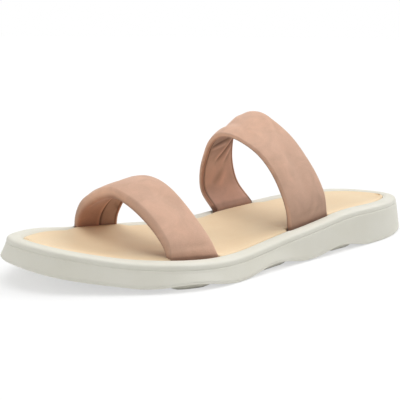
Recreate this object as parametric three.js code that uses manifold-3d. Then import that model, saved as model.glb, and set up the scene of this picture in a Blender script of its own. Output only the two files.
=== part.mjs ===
// Flat sandal, left shoe: a moulded rubber cup sole, a leather-covered insole lying in it and two padded
// leather bands whose ends stand in slots beside the insole.
// Millimetres. +X points to the toe, +Y to the wearer's left (the outer side of this left shoe), +Z up.
// The origin is the middle of the footprint, on the floor.
import * as THREE from 'three';
import Module from 'manifold-3d';

const wasm = await Module();
wasm.setup();

// Driving sizes
const LENGTH = 262; // rim, heel tip to toe tip
const BALL_WIDTH = 96; // rim at the ball
const HEEL_HEIGHT = 21.8; // rim over the floor at the heel
const TOE_SPRING = 12.4; // the underside's rise at the toe
const RIM_WIDTH = 8.4; // flat white top of the rim
const CLEARANCE = 0.3; // between pieces that lie in one another
const INSOLE_THICK = 2.5;
const INSOLE_SINK = 0.25; // insole edge below the rim
const DISH = 0.9; // the insole's middle below its edge
const BEAD_HEIGHT = 3.2; // rim bead above the groove
const FLARE = 3.2; // the wall's foot outside the rim
const WAVE_DEPTH = 3.3; // height of the arches in the lower edge
const WAVE_HALF = 28; // half the length of one arch
const TREAD_DEPTH = 3.3; // the tread's hollows above the ground
const LUG_FLAT = 5; // half the level part of a lug, a rounded block across the tread
const LUG_HALF = 13.5; // half the length of a lug
const LUG_INSET = 2; // lugs stay this far inside the wall's foot
const EDGE_BLOCK = 12.5; // width of the raised band along the edge
const SLOT_DEPTH = 4.6; // strap ends below the rim
const HALF_COUNT = 60; // steps of the outline on one side

// The rim seen from above: outer and inner are shares of the ball width at shares of the length from the heel
const OUTLINE = [
  { share: 0.045, outer: 0.197, inner: 0.189 },
  { share: 0.13, outer: 0.290, inner: 0.299 },
  { share: 0.25, outer: 0.342, inner: 0.323 },
  { share: 0.38, outer: 0.400, inner: 0.360 },
  { share: 0.52, outer: 0.460, inner: 0.385 },
  { share: 0.66, outer: 0.531, inner: 0.462 },
  { share: 0.79, outer: 0.452, inner: 0.465 },
  { share: 0.89, outer: 0.304, inner: 0.406 },
  { share: 0.96, outer: 0.163, inner: 0.250 },
];
const HEEL_TIP = 0.048;
const TOE_TIP = -0.067;

// Side view, at shares of the length from the heel: the rim as shares of the heel height, the underside as
// shares of the toe spring
const RIM_RISE = [
  { share: 0, up: 1 },
  { share: 0.2, up: 1.0275 },
  { share: 0.4, up: 0.8025 },
  { share: 0.6, up: 0.569 },
  { share: 0.8, up: 0.6835 },
  { share: 1, up: 1.106 },
];
const UNDERSIDE_RISE = [
  { share: 0, up: 0.1 },
  { share: 0.05, up: 0.02 },
  { share: 0.09, up: 0 },
  { share: 0.15, up: 0 },
  { share: 0.3, up: 0.04 },
  { share: 0.45, up: 0.04 },
  { share: 0.58, up: 0 },
  { share: 0.72, up: 0 },
  { share: 0.76, up: 0.05 },
  { share: 0.8, up: 0.168 },
  { share: 0.84, up: 0.298 },
  { share: 0.88, up: 0.415 },
  { share: 0.92, up: 0.56 },
  { share: 0.96, up: 0.75 },
  { share: 1, up: 1 },
];

// Shares of the length at which the lower edge arches, and at which lugs stand
const ARCHES = [0.2805, 0.498, 0.7156];
const LUGS = [0.118, ...ARCHES, 0.89];

// Padded bands. Each edge stands on its two feet, at shares of the length, whose outer face lies seat beyond
// the rim's inner edge. In between it is a row of points over the wearer's foot: out is a share of the half
// span between its feet (1 outer side, -1 inner side) and up a share of its rise.
const STRAP_FRONT = {
  name: 'strap_front',
  front: { outerAt: 0.7424, innerAt: 0.8065, rise: 30.6 },
  back: { outerAt: 0.6321, innerAt: 0.7042, rise: 35.5 },
  outerSeat: -0.2,
  innerSeat: 4.4,
  lean: 0.12,
  footThick: 4.8,
  topThick: 6.4,
  crown: 1.7,
  turned: 0.5,
  rows: [
    { frontOut: 1.0, frontUp: 0, backOut: 1.0, backUp: 0 },
    { frontOut: 0.98, frontUp: 0.25, backOut: 0.91, backUp: 0.2 },
    { frontOut: 0.86, frontUp: 0.487, backOut: 0.77, backUp: 0.38 },
    { frontOut: 0.675, frontUp: 0.68, backOut: 0.617, backUp: 0.565 },
    { frontOut: 0.46, frontUp: 0.832, backOut: 0.45, backUp: 0.734 },
    { frontOut: 0.24, frontUp: 0.935, backOut: 0.257, backUp: 0.885 },
    { frontOut: 0.01, frontUp: 0.99, backOut: 0.042, backUp: 0.98 },
    { frontOut: -0.2, frontUp: 0.945, backOut: -0.2, backUp: 0.994 },
    { frontOut: -0.405, frontUp: 0.845, backOut: -0.437, backUp: 0.91 },
    { frontOut: -0.605, frontUp: 0.7, backOut: -0.65, backUp: 0.734 },
    { frontOut: -0.78, frontUp: 0.51, backOut: -0.82, backUp: 0.48 },
    { frontOut: -0.925, frontUp: 0.245, backOut: -0.94, backUp: 0.24 },
    { frontOut: -1.0, frontUp: 0, backOut: -1.0, backUp: 0 },
  ],
};
const STRAP_REAR = {
  name: 'strap_rear',
  front: { outerAt: 0.4176, innerAt: 0.4611, rise: 51.6 },
  back: { outerAt: 0.2931, innerAt: 0.3527, rise: 59.8 },
  outerSeat: 0.4,
  innerSeat: 4.0,
  lean: 0.14,
  footThick: 3.8,
  topThick: 4.2,
  crown: 1.7,
  turned: 0.12,
  rows: [
    { frontOut: 1.0, frontUp: 0, backOut: 1.0, backUp: 0 },
    { frontOut: 0.985, frontUp: 0.21, backOut: 0.97, backUp: 0.202 },
    { frontOut: 0.87, frontUp: 0.43, backOut: 0.81, backUp: 0.395 },
    { frontOut: 0.68, frontUp: 0.65, backOut: 0.565, backUp: 0.59 },
    { frontOut: 0.41, frontUp: 0.825, backOut: 0.27, backUp: 0.775 },
    { frontOut: 0.09, frontUp: 0.935, backOut: -0.095, backUp: 0.92 },
    { frontOut: -0.29, frontUp: 1.0, backOut: -0.53, backUp: 1.0 },
    { frontOut: -0.65, frontUp: 0.985, backOut: -0.95, backUp: 0.962 },
    { frontOut: -0.935, frontUp: 0.873, backOut: -1.26, backUp: 0.842 },
    { frontOut: -1.13, frontUp: 0.69, backOut: -1.42, backUp: 0.636 },
    { frontOut: -1.265, frontUp: 0.46, backOut: -1.445, backUp: 0.42 },
    { frontOut: -1.23, frontUp: 0.215, backOut: -1.295, backUp: 0.19 },
    { frontOut: -1.0, frontUp: 0, backOut: -1.0, backUp: 0 },
  ],
};

// A smooth curve through a table of shares of the length
function riseAt(table, x) {
  const s = THREE.MathUtils.clamp(x / LENGTH + 0.5, table[0].share, table.at(-1).share);
  let i = 0;
  while (i < table.length - 2 && s > table[i + 1].share) {
    i += 1;
  }
  const slope = (k) => (table[k + 1].up - table[k].up) / (table[k + 1].share - table[k].share);
  const tangent = (k) => {
    if (k === 0) {
      return slope(0);
    }
    if (k === table.length - 1) {
      return slope(k - 1);
    }
    const a = slope(k - 1);
    const b = slope(k);
    return a * b <= 0 ? 0 : (2 * a * b) / (a + b);
  };
  const h = table[i + 1].share - table[i].share;
  const t = (s - table[i].share) / h;
  const t2 = t * t;
  const t3 = t2 * t;
  return (2 * t3 - 3 * t2 + 1) * table[i].up + (t3 - 2 * t2 + t) * h * tangent(i)
    + (3 * t2 - 2 * t3) * table[i + 1].up + (t3 - t2) * h * tangent(i + 1);
}

const rimHeight = (x) => HEEL_HEIGHT * riseAt(RIM_RISE, x);
const underside = (x) => TOE_SPRING * riseAt(UNDERSIDE_RISE, x);

// Slopes of the smooth closed curve through values at increasing lengths; the last value repeats the first
function closedSlopes(lengths, values) {
  const n = lengths.length - 1;
  const h = (i) => lengths[((i + n) % n) + 1] - lengths[(i + n) % n];
  const rise = (i) => (values[((i + n) % n) + 1] - values[(i + n) % n]) / h(i);
  const slopes = Array.from({ length: n }, (_, i) => rise(i));
  // Gauss-Seidel on the condition that the curvature is equal on both sides of every point
  for (let pass = 0; pass < 60; pass += 1) {
    for (let i = 0; i < n; i += 1) {
      const before = slopes[(i + n - 1) % n];
      const after = slopes[(i + 1) % n];
      const right = 3 * (rise(i - 1) / h(i - 1) + rise(i) / h(i));
      slopes[i] = (right - before / h(i - 1) - after / h(i)) / (2 / h(i - 1) + 2 / h(i));
    }
  }
  return [...slopes, slopes[0]];
}

// The rim seen from above, from the heel tip along the outer side to the toe tip and back on the inner side
function makeOutline() {
  const at = (share) => (share - 0.5) * LENGTH;
  const outer = OUTLINE.map((row) => [at(row.share), row.outer * BALL_WIDTH]);
  const inner = OUTLINE.map((row) => [at(row.share), -row.inner * BALL_WIDTH]).reverse();
  const heel = [-LENGTH / 2, HEEL_TIP * BALL_WIDTH];
  const toe = [LENGTH / 2, TOE_TIP * BALL_WIDTH];
  const knots = [heel, ...outer, toe, ...inner, heel];
  const at0 = [0];
  for (let i = 1; i < knots.length; i += 1) {
    const [run, rise] = [0, 1].map((k) => knots[i][k] - knots[i - 1][k]);
    at0.push(at0[i - 1] + Math.sqrt(Math.hypot(run, rise)));
  }
  const slopes = [0, 1].map((k) => closedSlopes(at0, knots.map((p) => p[k])));
  const curve = (i, t, k) => {
    const h = at0[i + 1] - at0[i];
    const t2 = t * t;
    const t3 = t2 * t;
    return (2 * t3 - 3 * t2 + 1) * knots[i][k] + (t3 - 2 * t2 + t) * h * slopes[k][i]
      + (3 * t2 - 2 * t3) * knots[i + 1][k] + (t3 - t2) * h * slopes[k][i + 1];
  };
  const side = (first, last) => {
    const fine = [];
    for (let i = first; i < last; i += 1) {
      for (let j = 0; j < 60; j += 1) {
        fine.push([curve(i, j / 60, 0), curve(i, j / 60, 1)]);
      }
    }
    fine.push([curve(last - 1, 1, 0), curve(last - 1, 1, 1)]);
    const run = [0];
    for (let i = 1; i < fine.length; i += 1) {
      run.push(run[i - 1] + Math.hypot(fine[i][0] - fine[i - 1][0], fine[i][1] - fine[i - 1][1]));
    }
    const points = [];
    let j = 0;
    for (let i = 0; i < HALF_COUNT; i += 1) {
      const want = (i / HALF_COUNT) * run.at(-1);
      while (run[j + 1] < want) {
        j += 1;
      }
      const t = (want - run[j]) / (run[j + 1] - run[j]);
      points.push([0, 1].map((k) => fine[j][k] + t * (fine[j + 1][k] - fine[j][k])));
    }
    return points;
  };
  const toeAt = outer.length + 1;
  const points = [...side(0, toeAt), ...side(toeAt, knots.length - 1)];
  const count = points.length;
  return points.map(([x, y], i) => {
    const before = points[(i + count - 1) % count];
    const after = points[(i + 1) % count];
    const run = Math.hypot(after[0] - before[0], after[1] - before[1]);
    // The station is the same for two points that face each other across the sole
    const station = points[i <= HALF_COUNT ? i : count - i][0];
    return { x, y, nx: -(after[1] - before[1]) / run, ny: (after[0] - before[0]) / run, station };
  });
}

const outline = makeOutline();

// One ring of points round the sole: how far outside the rim, and how high
function ring(outside, height) {
  return outline.map((p) => {
    const x = p.x + p.nx * outside;
    const y = p.y + p.ny * outside;
    return new THREE.Vector3(x, y, height(x, p.station));
  });
}

// Collects points and faces of one closed body
class Body {
  constructor() {
    this.points = [];
    this.faces = [];
  }

  add(point) {
    this.points.push(point);
    return this.points.length - 1;
  }

  quad(a, b, c, d) {
    this.faces.push([a, b, c], [a, c, d]);
  }

  // Joins rings of equal count one after another
  wrap(rings) {
    const rows = rings.map((points) => points.map((p) => this.add(p)));
    for (let r = 0; r < rows.length - 1; r += 1) {
      const count = rows[r].length;
      for (let i = 0; i < count; i += 1) {
        const j = (i + 1) % count;
        this.quad(rows[r][i], rows[r][j], rows[r + 1][j], rows[r + 1][i]);
      }
    }
    return rows;
  }

  // Fills a ring with rungs from the outer side to the inner side
  fill(row, distances, height, upward) {
    const half = row.length / 2;
    const rungs = [];
    for (let i = 1; i < half; i += 1) {
      const a = this.points[row[i]];
      const b = this.points[row[row.length - i]];
      const width = a.distanceTo(b);
      const scale = Math.min(1, width / (2.6 * distances.at(-1)));
      const shares = distances.map((d) => (d * scale) / width);
      const all = [...shares, 0.5, ...shares.map((s) => 1 - s).reverse()];
      const rung = all.map((s) => {
        const p = a.clone().lerp(b, s);
        p.z = height(p.x, outline[i].station, (Math.min(s, 1 - s) * width) / scale);
        return this.add(p);
      });
      rungs.push([row[i], ...rung, row[row.length - i]]);
    }
    const put = (a, b, c) => this.faces.push(upward ? [a, b, c] : [a, c, b]);
    for (let r = 0; r < rungs.length - 1; r += 1) {
      for (let k = 0; k < rungs[r].length - 1; k += 1) {
        put(rungs[r][k], rungs[r][k + 1], rungs[r + 1][k + 1]);
        put(rungs[r][k], rungs[r + 1][k + 1], rungs[r + 1][k]);
      }
    }
    const first = rungs[0];
    const last = rungs.at(-1);
    for (let k = 0; k < first.length - 1; k += 1) {
      put(row[0], first[k + 1], first[k]);
      put(row[half], last[k], last[k + 1]);
    }
  }

  solid() {
    const mesh = new wasm.Mesh({
      numProp: 3,
      vertProperties: new Float32Array(this.points.flatMap((p) => [p.x, p.y, p.z])),
      triVerts: new Uint32Array(this.faces.flat()),
    });
    const solid = new wasm.Manifold(mesh);
    if (solid.volume() > 0) {
      return solid;
    }
    this.faces = this.faces.map(([a, b, c]) => [a, c, b]);
    return this.solid();
  }
}

// Between 1 inside a window and 0 outside it, with a soft edge
function windowAt(distance, half, soft) {
  return 1 - THREE.MathUtils.smoothstep(distance, half, half + soft);
}

// Distance to the nearest of some places, which are shares of the length
function awayFrom(x, shares) {
  return Math.min(...shares.map((share) => Math.abs(x - (share - 0.5) * LENGTH)));
}

function edgeLift(x) {
  const d = Math.min(awayFrom(x, ARCHES) / WAVE_HALF, 1);
  return WAVE_DEPTH * 0.5 * (1 + Math.cos(Math.PI * d));
}

// Underside: a raised band along the edge that rises with the arches, and lugs across the tread
function tread(x, station, fromEdge) {
  const raised = windowAt(fromEdge, EDGE_BLOCK, EDGE_BLOCK / 3);
  const band = THREE.MathUtils.lerp(TREAD_DEPTH, edgeLift(station), raised);
  const end = THREE.MathUtils.clamp((awayFrom(station, LUGS) - LUG_FLAT) / (LUG_HALF - LUG_FLAT), 0, 1);
  const lug = TREAD_DEPTH * Math.max(end * end, windowAt(fromEdge, LUG_INSET, LUG_INSET));
  return underside(x) + Math.min(band, lug);
}

function makeSole() {
  const body = new Body();
  const bead = rimHeight;
  const wallTop = (x) => rimHeight(x) - BEAD_HEIGHT - 0.7;
  const wall = (share) => ring(
    0.3 + (FLARE - 0.3) * share,
    (x, station) => THREE.MathUtils.lerp(wallTop(x), underside(x) + edgeLift(station) + 1.7, share),
  );
  const floor = INSOLE_SINK + INSOLE_THICK + CLEARANCE;
  const rings = [
    ring(-RIM_WIDTH, (x) => bead(x) - floor),
    ring(-RIM_WIDTH, (x) => bead(x) - 0.5),
    ring(-RIM_WIDTH + 0.7, (x) => bead(x)),
    ring(-RIM_WIDTH / 2, (x) => bead(x) + 0.15),
    ring(-1.9, (x) => bead(x) - 0.15),
    ring(-0.5, (x) => bead(x) - 0.8),
    ring(0, (x) => bead(x) - 1.8),
    ring(-0.1, (x) => bead(x) - BEAD_HEIGHT + 0.4),
    ring(-0.7, (x) => bead(x) - BEAD_HEIGHT - 0.05),
    wall(0),
    wall(0.5),
    wall(1),
    ring(FLARE - 0.35, (x, station) => underside(x) + edgeLift(station) + 0.55),
    ring(FLARE - 1.5, (x, station) => underside(x) + edgeLift(station)),
  ];
  const rows = body.wrap(rings);
  body.fill(rows[0], [4, 14, 26], (x) => rimHeight(x) - floor, true);
  const across = [LUG_INSET, 2 * LUG_INSET, EDGE_BLOCK, (EDGE_BLOCK * 4) / 3];
  body.fill(rows.at(-1), across, tread, false);
  return body.solid();
}

function makeInsole() {
  const body = new Body();
  const edge = -RIM_WIDTH - CLEARANCE;
  const top = (x) => rimHeight(x) - INSOLE_SINK;
  const dish = (x, station, e) => top(x) - DISH * THREE.MathUtils.smoothstep(e, 3, 24);
  const rings = [
    ring(edge - 0.5, (x) => top(x)),
    ring(edge, (x) => top(x) - 0.5),
    ring(edge, (x) => top(x) - INSOLE_THICK),
  ];
  const rows = body.wrap(rings);
  body.fill(rows[0], [4, 12, 24], dish, true);
  body.fill(rows.at(-1), [4, 14, 26], (x) => top(x) - INSOLE_THICK, false);
  return body.solid();
}

// Where an edge of a strap stands: beside the rim's inner edge on one side of the sole
function footAt(share, side, seat) {
  const x = (share - 0.5) * LENGTH;
  const edge = ring(-RIM_WIDTH, rimHeight);
  const half = side > 0 ? edge.slice(0, HALF_COUNT) : edge.slice(HALF_COUNT).reverse();
  const k = Math.max(1, half.findIndex((p) => p.x > x));
  const t = (x - half[k - 1].x) / (half[k].x - half[k - 1].x);
  const y = THREE.MathUtils.lerp(half[k - 1].y, half[k].y, t);
  return new THREE.Vector3(x, y + side * seat, rimHeight(x));
}

// One edge of a strap, as points from the slot on the outer side over the foot to the slot on the inner side
function strapEdge(strap, side) {
  const edge = strap[side];
  const outer = footAt(edge.outerAt, 1, strap.outerSeat);
  const inner = footAt(edge.innerAt, -1, strap.innerSeat);
  const points = strap.rows.map((row) => {
    const share = (1 - row[`${side}Out`]) / 2;
    const p = outer.clone().lerp(inner, share);
    const up = row[`${side}Up`] * edge.rise;
    p.z = THREE.MathUtils.lerp(outer.z, inner.z, THREE.MathUtils.clamp(share, 0, 1)) + up;
    p.x += strap.lean * up;
    return p;
  });
  return new THREE.CatmullRomCurve3(points, false, 'centripetal');
}

// A padded band between its two edges; grow widens it on every side, for cutting its slots
function makeStrap(strap, grow) {
  const front = strapEdge(strap, 'front');
  const back = strapEdge(strap, 'back');
  const steps = 30;
  const stations = [];
  for (let i = 0; i <= steps; i += 1) {
    const a = front.getPoint(i / steps);
    const b = back.getPoint(i / steps);
    const along = front.getTangent(i / steps).add(back.getTangent(i / steps)).normalize();
    stations.push({ a, b, along, share: i / steps });
  }
  const down = (station, depth) => {
    const drop = new THREE.Vector3(0, 0, -depth);
    return { ...station, a: station.a.clone().add(drop), b: station.b.clone().add(drop) };
  };
  const first = { ...stations[0], along: new THREE.Vector3(0, 0, 1) };
  const last = { ...stations.at(-1), along: new THREE.Vector3(0, 0, -1) };
  const deep = SLOT_DEPTH + grow;
  const all = [down(first, deep), first, ...stations.slice(1, -1), last, down(last, deep)];
  const rings = all.map((station) => {
    const across = station.b.clone().sub(station.a);
    const width = across.length();
    across.normalize();
    const outward = new THREE.Vector3().crossVectors(across, station.along).normalize();
    if (outward.dot(new THREE.Vector3(0, station.a.y, 40)) < 0) {
      outward.negate();
    }
    const fullness = Math.sin(Math.PI * THREE.MathUtils.clamp(station.share, 0, 1)) ** 0.5;
    const thick = THREE.MathUtils.lerp(strap.footThick, strap.topThick, fullness);
    const crown = strap.crown * (0.25 + 0.75 * fullness);
    const step = 0.7 * fullness;
    const turned = strap.turned;
    const section = [
      [0, -0.5 * thick],
      [0.015, -0.2 * thick],
      [0.05, 0],
      [0.13, 0.5 * crown],
      [0.27, 0.85 * crown],
      [0.43, crown],
      [0.59, crown],
      [0.75, 0.85 * crown],
      [0.88, 0.5 * crown],
      [0.955, 0],
      [0.987, -0.2 * thick],
      [1, -0.5 * thick],
      [0.985, -0.8 * thick],
      [0.95, -0.98 * thick],
      [turned + 0.05 + 0.3 * (0.9 - turned), -thick + step],
      [turned + 0.045, -thick + step],
      [turned, -thick],
      [turned * 0.5 + 0.02, -1.03 * thick],
      [0.05, -0.98 * thick],
      [0.015, -0.8 * thick],
    ];
    return section.map(([w, h]) => {
      const wide = w * width + (w < 0.5 ? -grow : grow) * (w < 0.06 || w > 0.94 ? 1 : 0);
      const high = h + (h > -0.5 * thick ? grow : -grow) * (h === -0.5 * thick ? 0 : 1);
      return station.a.clone().addScaledVector(across, wide).addScaledVector(outward, high);
    });
  });
  const body = new Body();
  const rows = body.wrap(rings);
  // The two ends are flat: each section is closed with strips from its outer to its inner face
  const close = (row, flip) => {
    const count = row.length;
    for (let k = 0; k < count / 2 - 1; k += 1) {
      const a = row[k];
      const b = row[k + 1];
      const c = row[count - 2 - k];
      const d = row[count - 1 - k];
      const faces = [[a, b, c], [a, c, d]].filter((face) => new Set(face).size === 3);
      faces.forEach(([p, q, r]) => body.faces.push(flip ? [p, r, q] : [p, q, r]));
    }
  };
  close(rows[0], true);
  close(rows.at(-1), false);
  return body.solid();
}

const front = makeStrap(STRAP_FRONT, 0);
const rear = makeStrap(STRAP_REAR, 0);
const slots = wasm.Manifold.union(makeStrap(STRAP_FRONT, CLEARANCE), makeStrap(STRAP_REAR, CLEARANCE));
// In the insole each slot is an open notch, so that no thin lip is left outside the strap
const notches = [1, -1].flatMap((side) => {
  const half = slots.trimByPlane([0, side, 0], 0);
  return [0, 1.6, 3.2, 4.8].map((move) => half.translate(0, side * move, 0));
});
const pieces = {
  sole_unit: makeSole().subtract(slots),
  insole: makeInsole().subtract(wasm.Manifold.union(notches)),
  strap_front: front,
  strap_rear: rear,
};

const finishes = {
  sole_unit: { color: 0xe6e4d8, roughness: 0.55 },
  insole: { color: 0xdcb188, roughness: 0.45 },
  strap_front: { color: 0xc99c86, roughness: 0.9 },
  strap_rear: { color: 0xc99c86, roughness: 0.9 },
};

function toMesh(name, solid) {
  const mesh = solid.getMesh();
  const positions = [];
  for (let i = 0; i < mesh.vertProperties.length; i += mesh.numProp) {
    positions.push(mesh.vertProperties[i], mesh.vertProperties[i + 1], mesh.vertProperties[i + 2]);
  }
  const geometry = new THREE.BufferGeometry();
  geometry.setAttribute('position', new THREE.Float32BufferAttribute(positions, 3));
  geometry.setIndex(Array.from(mesh.triVerts));
  geometry.computeVertexNormals();
  const result = new THREE.Mesh(geometry, new THREE.MeshStandardMaterial(finishes[name]));
  result.name = name;
  return result;
}

const group = new THREE.Group();
group.name = 'flat_sandal';
Object.entries(pieces).forEach(([name, solid]) => group.add(toMesh(name, solid)));

// Moves everything so that the origin is the middle of the footprint on the floor
const box = new THREE.Box3().setFromObject(group);
const middle = box.getCenter(new THREE.Vector3());
group.children.forEach((mesh) => mesh.geometry.translate(-middle.x, -middle.y, -box.min.z));

export default group;
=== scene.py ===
# %% [markdown]
# # A flat sandal, left shoe
# Two padded leather bands hold the foot on a tan footbed, and the footbed lies in a pale moulded rubber sole.
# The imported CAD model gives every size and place. Blender rebuilds each piece finely enough to carry its real
# surface: the soft crown of the bands, their folded edges, the bead of the rim and the blocks of the tread.
# The CAD solids stay hidden behind these pieces, because they are too coarse to be looked at from close by.

# %% Load the frame
import math
import bpy
import numpy as np
from mathutils import Matrix, Vector


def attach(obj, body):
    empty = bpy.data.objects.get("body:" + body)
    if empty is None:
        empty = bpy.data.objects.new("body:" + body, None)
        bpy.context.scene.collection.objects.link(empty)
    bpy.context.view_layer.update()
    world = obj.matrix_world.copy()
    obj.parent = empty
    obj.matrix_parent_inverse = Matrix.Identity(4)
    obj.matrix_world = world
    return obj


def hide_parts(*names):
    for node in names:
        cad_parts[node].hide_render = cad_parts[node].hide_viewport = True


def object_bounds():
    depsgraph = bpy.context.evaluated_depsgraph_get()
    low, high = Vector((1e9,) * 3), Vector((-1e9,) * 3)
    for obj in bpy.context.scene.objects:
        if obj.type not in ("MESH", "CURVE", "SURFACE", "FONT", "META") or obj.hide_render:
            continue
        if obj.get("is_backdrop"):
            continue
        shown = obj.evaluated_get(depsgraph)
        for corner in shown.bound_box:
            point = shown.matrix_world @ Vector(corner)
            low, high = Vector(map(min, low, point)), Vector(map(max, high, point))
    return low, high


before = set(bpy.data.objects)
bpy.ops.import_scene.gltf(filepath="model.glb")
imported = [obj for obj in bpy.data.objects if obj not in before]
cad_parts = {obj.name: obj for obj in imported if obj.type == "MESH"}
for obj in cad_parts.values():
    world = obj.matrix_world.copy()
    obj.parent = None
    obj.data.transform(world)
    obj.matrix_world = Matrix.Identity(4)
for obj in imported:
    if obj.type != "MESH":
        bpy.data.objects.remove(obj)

cad_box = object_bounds()
MM = 0.001
print("CAD nodes:", sorted(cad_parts))
print("CAD box in mm:", [[round(v / MM, 1) for v in corner] for corner in cad_box])

# %% [markdown]
# ## The camera
# A camera can be placed by eye, or worked out from points whose real place is known. Here the rim of the
# sole was fitted to the picture, which gives the direction, the distance, the roll and the lens together.
# The camera's own axes are right, up and back, and those three are the columns of its matrix.

# %% Place the camera
# the turn, tilt and roll in degrees, the rest in mm
VIEW = {"turn": 56.403, "tilt": 12.678, "roll": 1.109, "distance": 459.88, "right": -16.175, "up": 13.649}
FOCAL_PIXELS = 782.48
PICTURE_WIDTH = 400
SENSOR_WIDTH = 36
AIM = np.array([0.0, -2.76, 16.2])


def camera_axes(turn, tilt, roll):
    turn, tilt, roll = np.radians([turn, tilt, roll])
    back = np.array([np.cos(tilt) * np.cos(turn), np.cos(tilt) * np.sin(turn), np.sin(tilt)])
    level = np.cross(-back, [0, 0, 1])
    level /= np.linalg.norm(level)
    upright = np.cross(level, -back)
    right = level * np.cos(roll) + upright * np.sin(roll)
    up = -level * np.sin(roll) + upright * np.cos(roll)
    return right, up, back


right, up, back = camera_axes(VIEW["turn"], VIEW["tilt"], VIEW["roll"])
eye = AIM + back * VIEW["distance"] + right * VIEW["right"] + up * VIEW["up"]
camera_data = bpy.data.cameras.new("camera")
camera_data.sensor_width = SENSOR_WIDTH
camera_data.lens = FOCAL_PIXELS / PICTURE_WIDTH * SENSOR_WIDTH
camera_data.clip_start = 0.01
camera = bpy.data.objects.new("camera", camera_data)
columns = np.column_stack([right, up, back, eye * MM])
camera.matrix_world = Matrix([*columns.tolist(), [0, 0, 0, 1]])
bpy.context.scene.collection.objects.link(camera)
bpy.context.scene.camera = camera
print("Camera at", np.round(eye).tolist(), "mm, lens", round(camera_data.lens, 1), "mm")

# %% [markdown]
# ## The last, seen from above
# Everything on the shoe follows one line: the outer edge of the rim. It could be traced as a drawn curve,
# but a short table of half widths is easier to read and change, and the CAD sole is shaped by the same
# table.

# %% The table of the outline
LENGTH = 262
BALL_WIDTH = 96
# share of the length from the heel, and the half widths as shares of the ball's width
OUTLINE = [
    {"share": 0.045, "outer": 0.197, "inner": 0.189},
    {"share": 0.13, "outer": 0.290, "inner": 0.299},
    {"share": 0.25, "outer": 0.342, "inner": 0.323},
    {"share": 0.38, "outer": 0.400, "inner": 0.360},
    {"share": 0.52, "outer": 0.460, "inner": 0.385},
    {"share": 0.66, "outer": 0.531, "inner": 0.463},
    {"share": 0.79, "outer": 0.452, "inner": 0.465},
    {"share": 0.89, "outer": 0.304, "inner": 0.406},
    {"share": 0.96, "outer": 0.163, "inner": 0.250},
]
# how far off the middle the two tips are, as shares of the ball's width
HEEL_TIP = 0.048
TOE_TIP = -0.067
print("The outline has", 2 * len(OUTLINE) + 2, "knots")

# %% [markdown]
# ## A smooth closed curve
# A drawn curve in Blender has handles to set by hand at every knot. Here a small system of equations finds
# the slopes at all the knots at once, so that the bend never jumps, which is how a spring laid round pegs
# behaves.

# %% Curve helpers


def closed_curve_slopes(run, knots):
    gaps = np.diff(run)
    rises = np.diff(knots, axis=0) / gaps[:, None]
    count = len(gaps)
    system = np.zeros((count, count))
    wanted = np.zeros((count, 2))
    for i in range(count):
        system[i, i - 1] += 1 / gaps[i - 1]
        system[i, (i + 1) % count] += 1 / gaps[i]
        system[i, i] += 2 / gaps[i - 1] + 2 / gaps[i]
        wanted[i] = 3 * (rises[i - 1] / gaps[i - 1] + rises[i] / gaps[i])
    slopes = np.linalg.solve(system, wanted)
    return np.vstack([slopes, slopes[:1]])


def curve_between(t, gap, start, start_slope, end, end_slope):
    return (
        (2 * t**3 - 3 * t**2 + 1) * start
        + (t**3 - 2 * t**2 + t) * gap * start_slope
        + (3 * t**2 - 2 * t**3) * end
        + (t**3 - t**2) * gap * end_slope
    )


def equal_steps(points, steps):
    run = np.r_[0, np.cumsum(np.linalg.norm(np.diff(points, axis=0), axis=1))]
    at = np.linspace(0, run[-1], steps + 1)[:-1]
    return np.column_stack([np.interp(at, run, points[:, k]) for k in range(points.shape[1])])


halfway = float(curve_between(0.5, 1, 0, 0, 1, 0))
print("Halfway along, a curve with level ends has risen to", halfway)

# %% [markdown]
# ## The line of the rim
# Walking the curve at equal steps gives points, half of them on each side of the shoe. Each point knows
# which way is outwards, so a ring round the shoe can be made wider or narrower from it.

# %% Draw the outline
FLARE = 3.2  # the wall's foot stands this far outside the rim
SIDE_STEPS = 260
CURVE_STEPS = 80


def draw_outline():
    outer = [[(row["share"] - 0.5) * LENGTH, row["outer"] * BALL_WIDTH] for row in OUTLINE]
    inner = [[(row["share"] - 0.5) * LENGTH, -row["inner"] * BALL_WIDTH] for row in reversed(OUTLINE)]
    heel = [-LENGTH / 2, HEEL_TIP * BALL_WIDTH]
    toe = [LENGTH / 2, TOE_TIP * BALL_WIDTH]
    knots = np.array([heel, *outer, toe, *inner, heel])
    run = np.r_[0, np.cumsum(np.sqrt(np.linalg.norm(np.diff(knots, axis=0), axis=1)))]
    slopes = closed_curve_slopes(run, knots)
    t = np.linspace(0, 1, CURVE_STEPS + 1)[:, None]
    sides = [[], []]
    for i in range(len(knots) - 1):
        piece = curve_between(t, run[i + 1] - run[i], knots[i], slopes[i], knots[i + 1], slopes[i + 1])
        sides[0 if i <= len(outer) else 1].append(piece)
    return np.vstack([equal_steps(np.vstack(side), SIDE_STEPS) for side in sides])


outline = draw_outline()
along = np.roll(outline, -1, axis=0) - np.roll(outline, 1, axis=0)
along /= np.linalg.norm(along, axis=1)[:, None]
outward = np.column_stack([-along[:, 1], along[:, 0]])
facing = np.r_[0 : SIDE_STEPS + 1, SIDE_STEPS - 1 : 0 : -1]
station = outline[facing, 0]
foot_line = outline + outward * FLARE
MIDDLE_Y = (foot_line[:, 1].max() + foot_line[:, 1].min()) / 2
print("Rim in mm:", np.ptp(outline, axis=0).round(1).tolist(), "with its middle at", round(MIDDLE_Y, 2))

# %% [markdown]
# ## The last, seen from the side
# The heel stands higher than the ball, and the toe rises off the floor so that the shoe can roll forward.
# Both lines are short tables again. The curve between the rows never overshoots them, so flat stays flat.

# %% Give the rim and the underside their heights
HEEL_HEIGHT = 21.8
TOE_SPRING = 12.4
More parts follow.
